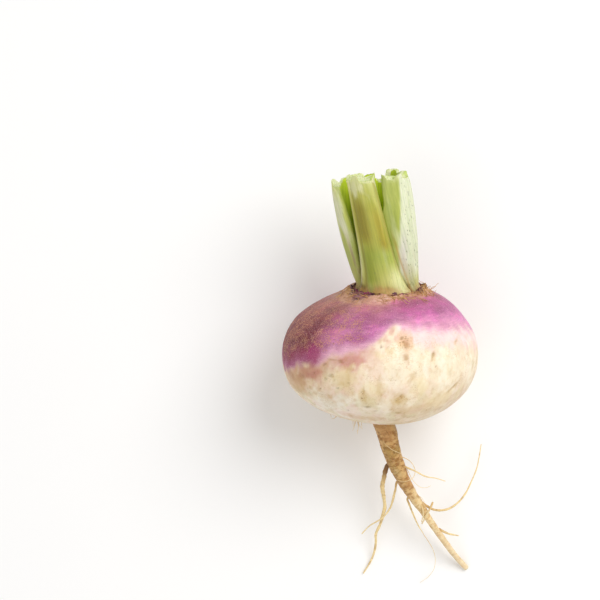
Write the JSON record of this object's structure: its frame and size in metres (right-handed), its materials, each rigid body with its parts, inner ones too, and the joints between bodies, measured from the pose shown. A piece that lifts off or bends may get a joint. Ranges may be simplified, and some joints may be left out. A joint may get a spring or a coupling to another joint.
{
  "type": "turnip",
  "caption": "Purple-topped root vegetable lying on its side: squat bulb with a bent taproot and thin side roots, and a bunch of cut leaf stalks on a corky crown.",
  "frame": {"origin": "middle of the small flat spot on the bulb that the turnip lies on", "axes": "-Z out of the flat spot, towards the surface; +Y from the root's tip towards the cut leaf stalks, the longest extent; +X to the side the taproot bends to"},
  "size_m": [0.0782, 0.1544, 0.0725],
  "materials": {
    "bulb_skin": "satin",
    "leaf_stalk": "satin",
    "leaf_scale": "matte",
    "side_root": "matte"
  },
  "bodies": {
    "root": {"bulb_and_taproot": "bulb_skin", "leaf_stalk_front": "leaf_stalk", "leaf_stalk_right": "leaf_stalk", "leaf_stalk_back_right": "leaf_stalk", "leaf_stalk_back": "leaf_stalk", "leaf_stalk_left": "leaf_stalk", "leaf_stalk_inner_front": "leaf_stalk", "leaf_stalk_inner_back": "leaf_stalk", "leaf_scale_1": "leaf_scale", "leaf_scale_2": "leaf_scale", "leaf_scale_3": "leaf_scale", "leaf_scale_4": "leaf_scale", "leaf_scale_5": "leaf_scale", "side_root_left": "side_root", "side_root_crossing": "side_root", "side_root_lower": "side_root", "side_root_arc": "side_root", "side_root_upper": "side_root", "side_root_tip": "side_root"}
  },
  "joints": []
}
